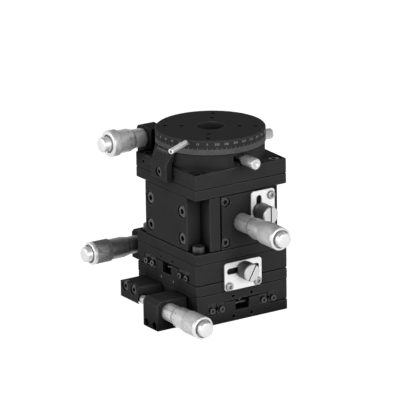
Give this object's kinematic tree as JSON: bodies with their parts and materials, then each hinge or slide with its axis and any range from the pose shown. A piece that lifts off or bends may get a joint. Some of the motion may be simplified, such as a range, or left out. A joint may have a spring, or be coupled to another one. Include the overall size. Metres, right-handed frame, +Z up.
{
  "type": "positioning stage",
  "caption": "Stacked positioning stage: crossed-roller X and Y slides, a wedge-driven Z lift and a round graduated turntable, each axis moved by a micrometer head and held by a lock screw.",
  "frame": {"origin": "centre of the underside of the lowest base plate", "axes": "+X along the travel of the lowest slide, away from its anvil towards its micrometer thimble; the second slide travels along Y with its thimble towards -Y; +Z up along the axis of the turntable"},
  "size_m": [0.1224, 0.0988, 0.1041],
  "materials": {
    "black_anodised": "satin",
    "ground_steel": "ground",
    "rolling_steel": "polished",
    "spring_steel": "drawn",
    "black_screws": "black oxide",
    "satin_chrome": "satin",
    "bright_plate": "satin",
    "dark_knob": "knurled",
    "silver_knob": "knurled"
  },
  "bodies": {
    "x_base": {"x_base_plate": "black_anodised", "x_base_rails": "ground_steel", "x_base_screws": "black_screws", "x_micrometer_block": "black_anodised", "x_sleeve": "satin_chrome", "x_lock_plate": "bright_plate", "x_return_springs": "spring_steel"},
    "x_cage": {"x_roller_cages": "rolling_steel"},
    "x_spindle": {"x_spindle": "satin_chrome"},
    "x_thimble": {"x_thimble": "satin_chrome"},
    "x_lock_knob": {"x_lock_knob": "dark_knob"},
    "x_carriage": {"x_carriage": "black_anodised", "x_carriage_rails": "ground_steel", "x_carriage_screws": "black_screws", "x_anvil_block": "black_anodised", "y_base_plate": "black_anodised", "y_base_rails": "ground_steel", "y_micrometer_block": "black_anodised", "y_sleeve": "satin_chrome", "y_lock_plate": "bright_plate", "y_return_springs": "spring_steel"},
    "y_cage": {"y_roller_cages": "rolling_steel"},
    "y_spindle": {"y_spindle": "satin_chrome"},
    "y_thimble": {"y_thimble": "satin_chrome"},
    "y_lock_knob": {"y_lock_knob": "dark_knob"},
    "y_carriage": {"y_carriage": "black_anodised", "y_carriage_rails": "ground_steel", "y_carriage_screws": "black_screws", "y_anvil_block": "black_anodised", "z_base_plate": "black_anodised", "z_guide_core": "black_anodised", "z_front_plate": "black_anodised", "z_sleeve": "satin_chrome", "z_return_springs": "spring_steel"},
    "z_cage": {"z_roller_cages": "rolling_steel"},
    "z_wedge": {"z_wedge": "ground_steel"},
    "z_spindle": {"z_spindle": "satin_chrome"},
    "z_thimble": {"z_thimble": "satin_chrome"},
    "z_lock_knob": {"z_lock_knob": "dark_knob"},
    "z_carriage": {"z_side_plates": "black_anodised", "z_side_columns": "black_anodised", "z_top_plate": "black_anodised", "z_carriage_screws": "black_screws", "z_lock_plate": "bright_plate", "r_housing": "black_anodised", "r_bracket": "black_anodised", "r_sleeve": "satin_chrome", "r_plunger_barrel": "satin_chrome", "r_plunger_spring": "spring_steel", "r_vernier": "black_anodised"},
    "r_ring": {"r_clamp_ring": "black_anodised"},
    "r_clamp_knob": {"r_clamp_knob": "silver_knob"},
    "r_table": {"r_table": "black_anodised", "r_lever": "satin_chrome"},
    "r_balls": {"r_bearing_balls": "rolling_steel"},
    "r_spindle": {"r_spindle": "satin_chrome"},
    "r_thimble": {"r_thimble": "satin_chrome"},
    "r_plunger_pin": {"r_plunger_pin": "satin_chrome"},
    "r_lock_knob": {"r_lock_knob": "silver_knob"}
  },
  "joints": [
    {"name": "x_screw_feed", "type": "slide", "parent": "x_base", "child": "x_spindle", "axis": [1, 0, 0], "range_m": [-0.0065, 0.0065]},
    {"name": "x_thimble_turn", "type": "hinge", "parent": "x_spindle", "child": "x_thimble", "pos_m": [0.04, -0.0425, 0.0102], "axis": [1, 0, 0], "range_deg": [-4680, 4680]},
    {"name": "x_travel", "type": "slide", "parent": "x_base", "child": "x_carriage", "axis": [1, 0, 0], "range_m": [-0.0065, 0.0065], "deforming": ["x_return_springs"]},
    {"name": "x_cage_travel", "type": "slide", "parent": "x_base", "child": "x_cage", "axis": [1, 0, 0], "range_m": [-0.00325, 0.00325]},
    {"name": "x_lock_turn", "type": "hinge", "parent": "x_carriage", "child": "x_lock_knob", "pos_m": [0, 0.031, 0.0114], "axis": [0, 1, 0], "range_deg": [0, 270]},
    {"name": "y_screw_feed", "type": "slide", "parent": "x_carriage", "child": "y_spindle", "axis": [0, -1, 0], "range_m": [-0.0065, 0.0065]},
    {"name": "y_thimble_turn", "type": "hinge", "parent": "y_spindle", "child": "y_thimble", "pos_m": [-0.0425, -0.04, 0.0289], "axis": [0, -1, 0], "range_deg": [-4680, 4680]},
    {"name": "y_travel", "type": "slide", "parent": "x_carriage", "child": "y_carriage", "axis": [0, -1, 0], "range_m": [-0.0065, 0.0065], "deforming": ["y_return_springs"]},
    {"name": "y_cage_travel", "type": "slide", "parent": "x_carriage", "child": "y_cage", "axis": [0, -1, 0], "range_m": [-0.00325, 0.00325]},
    {"name": "y_lock_turn", "type": "hinge", "parent": "y_carriage", "child": "y_lock_knob", "pos_m": [0.031, 0, 0.0294], "axis": [1, 0, 0], "range_deg": [0, 270]},
    {"name": "z_thimble_turn", "type": "hinge", "parent": "z_spindle", "child": "z_thimble", "pos_m": [0.05, 0, 0.0563], "axis": [-1, 0, 0], "range_deg": [0, 5760]},
    {"name": "z_screw_feed", "type": "slide", "parent": "y_carriage", "child": "z_spindle", "axis": [-1, 0, 0], "range_m": [0, 0.008]},
    {"name": "z_wedge_travel", "type": "slide", "parent": "y_carriage", "child": "z_wedge", "axis": [-1, 0, 0], "range_m": [0, 0.008]},
    {"name": "z_lift", "type": "slide", "parent": "y_carriage", "child": "z_carriage", "axis": [0, 0, 1], "range_m": [0, 0.008], "deforming": ["z_return_springs"]},
    {"name": "z_cage_travel", "type": "slide", "parent": "y_carriage", "child": "z_cage", "axis": [0, 0, 1], "range_m": [0, 0.004]},
    {"name": "z_lock_turn", "type": "hinge", "parent": "y_carriage", "child": "z_lock_knob", "pos_m": [0.031, 0.011, 0.061], "axis": [1, 0, 0], "range_deg": [0, 270]},
    {"name": "r_table_turn", "type": "hinge", "parent": "r_ring", "child": "r_table", "pos_m": [0, 0, 0.1], "axis": [0, 0, 1], "continuous": true},
    {"name": "r_ball_turn", "type": "hinge", "parent": "z_carriage", "child": "r_balls", "pos_m": [0, 0, 0.096], "axis": [0, 0, 1], "continuous": true},
    {"name": "r_thimble_turn", "type": "hinge", "parent": "r_spindle", "child": "r_thimble", "pos_m": [-0.0344, -0.03, 0.0932], "axis": [0, -1, 0], "range_deg": [-2160, 2160]},
    {"name": "r_screw_feed", "type": "slide", "parent": "z_carriage", "child": "r_spindle", "axis": [0, -1, 0], "range_m": [-0.003, 0.003]},
    {"name": "r_pin_travel", "type": "slide", "parent": "z_carriage", "child": "r_plunger_pin", "axis": [0, -1, 0], "range_m": [-0.003, 0.003], "deforming": ["r_plunger_spring"]},
    {"name": "r_fine_turn", "type": "hinge", "parent": "z_carriage", "child": "r_ring", "pos_m": [0, 0, 0.09], "axis": [0, 0, 1], "range_deg": [-5.2, 5.2]},
    {"name": "r_clamp_turn", "type": "hinge", "parent": "r_ring", "child": "r_clamp_knob", "pos_m": [0.04, 0, 0.0928], "axis": [1, 0, 0], "range_deg": [0, 270]},
    {"name": "r_lock_turn", "type": "hinge", "parent": "z_carriage", "child": "r_lock_knob", "pos_m": [0, 0.035, 0.0928], "axis": [0, 1, 0], "range_deg": [0, 270]}
  ],
  "couplings": [
    {"joint": "x_screw_feed", "follows": "x_travel", "ratio": 1},
    {"joint": "x_thimble_turn", "follows": "x_travel", "rad_per_m": 12566},
    {"joint": "x_cage_travel", "follows": "x_travel", "ratio": 0.5},
    {"joint": "y_screw_feed", "follows": "y_travel", "ratio": 1},
    {"joint": "y_thimble_turn", "follows": "y_travel", "rad_per_m": 12566},
    {"joint": "y_cage_travel", "follows": "y_travel", "ratio": 0.5},
    {"joint": "z_thimble_turn", "follows": "z_lift", "rad_per_m": 12566},
    {"joint": "z_screw_feed", "follows": "z_lift", "ratio": 1},
    {"joint": "z_wedge_travel", "follows": "z_lift", "ratio": 1},
    {"joint": "z_cage_travel", "follows": "z_lift", "ratio": 0.5},
    {"joint": "r_ball_turn", "follows": "r_table_turn", "ratio": 0.5},
    {"joint": "r_thimble_turn", "follows": "r_screw_feed", "rad_per_m": 12566},
    {"joint": "r_pin_travel", "follows": "r_screw_feed", "ratio": 1},
    {"joint": "r_fine_turn", "follows": "r_screw_feed", "rad_per_m": 29.07}
  ]
}
